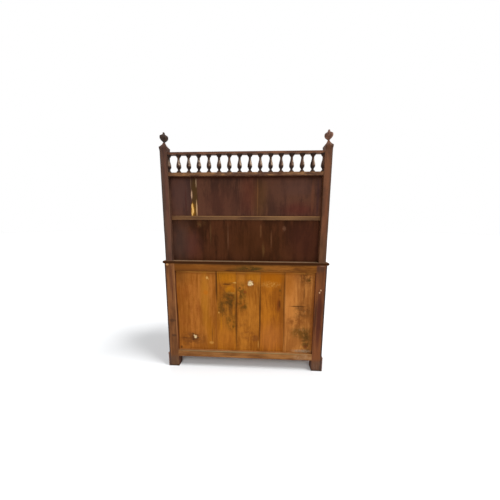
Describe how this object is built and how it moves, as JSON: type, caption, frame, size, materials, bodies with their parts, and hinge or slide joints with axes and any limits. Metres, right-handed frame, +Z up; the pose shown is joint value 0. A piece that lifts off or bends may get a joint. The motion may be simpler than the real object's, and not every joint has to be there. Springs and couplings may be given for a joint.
{
  "type": "sideboard",
  "caption": "Free-standing wooden sideboard: a plank-backed cupboard with doors and drawers under a plate rack with a turned baluster gallery and finials.",
  "frame": {"origin": "centre of the footprint of the whole piece, on the floor", "axes": "+X to the right as seen from the doors, +Y to the plank back, +Z up"},
  "size_m": [1.278, 0.466, 1.834],
  "materials": {
    "show_wood": "worn satin polish",
    "rack_wood": "worn dark stain",
    "dark_board_wood": "dark stain, matt",
    "back_post_wood": "bare, stained brown",
    "back_rail_wood": "bare, weathered",
    "raw_back_wood": "bare, stained and marked",
    "inside_wood": "bare",
    "hinge_brass": "dull, aged"
  },
  "bodies": {
    "cabinet": {"worktop": "show_wood", "front_post_left": "show_wood", "front_post_right": "show_wood", "back_post_left": "back_post_wood", "back_post_right": "back_post_wood", "back_top_rail": "back_rail_wood", "back_bottom_rail": "back_rail_wood", "back_board_1": "raw_back_wood", "back_board_2": "raw_back_wood", "back_board_3": "raw_back_wood", "back_board_4": "raw_back_wood", "back_board_5": "raw_back_wood", "side_top_rails": "show_wood", "side_bottom_rails": "show_wood", "side_panel_left": "show_wood", "side_panel_right": "show_wood", "base_mouldings": "show_wood", "front_top_rail": "show_wood", "front_mid_rail": "show_wood", "front_bottom_rail": "show_wood", "drawer_divider": "show_wood", "bottom_board": "inside_wood", "inner_shelf": "inside_wood", "shelf_cleats": "inside_wood", "drawer_runners": "inside_wood", "drawer_guides": "inside_wood", "drawer_stops": "inside_wood", "hinge_leaves_fixed": "hinge_brass", "rack_post_left": "rack_wood", "rack_post_right": "rack_wood", "rack_cheek_left": "rack_wood", "rack_cheek_right": "rack_wood", "rack_shelf": "rack_wood", "rack_upper_back": "dark_board_wood", "rack_lower_back": "dark_board_wood", "rack_dowels": "inside_wood", "gallery_lower_rail": "rack_wood", "gallery_top_rail": "rack_wood", "gallery_balusters": "rack_wood", "gallery_half_balusters": "rack_wood", "finial_left": "rack_wood", "finial_right": "rack_wood"},
    "door_left": {"door_left_stiles": "show_wood", "door_left_rails": "show_wood", "door_left_panel": "show_wood", "door_left_knob": "show_wood", "door_left_hinge_leaves": "hinge_brass"},
    "door_right": {"door_right_stiles": "show_wood", "door_right_rails": "show_wood", "door_right_panel": "show_wood", "door_right_knob": "show_wood", "door_right_hinge_leaves": "hinge_brass"},
    "drawer_left": {"drawer_left_front": "show_wood", "drawer_left_box": "inside_wood", "drawer_left_bottom": "inside_wood", "drawer_left_knobs": "show_wood"},
    "drawer_right": {"drawer_right_front": "show_wood", "drawer_right_box": "inside_wood", "drawer_right_bottom": "inside_wood", "drawer_right_knobs": "show_wood"}
  },
  "joints": [
    {"name": "door_left_hinge", "type": "hinge", "parent": "cabinet", "child": "door_left", "pos_m": [-0.545, -0.205, 0.42], "axis": [0, 0, -1], "range_deg": [0, 165]},
    {"name": "door_right_hinge", "type": "hinge", "parent": "cabinet", "child": "door_right", "pos_m": [0.545, -0.205, 0.42], "axis": [0, 0, 1], "range_deg": [0, 165]},
    {"name": "drawer_left_slide", "type": "slide", "parent": "cabinet", "child": "drawer_left", "axis": [0, -1, 0], "range_m": [0, 0.3]},
    {"name": "drawer_right_slide", "type": "slide", "parent": "cabinet", "child": "drawer_right", "axis": [0, -1, 0], "range_m": [0, 0.3]}
  ]
}
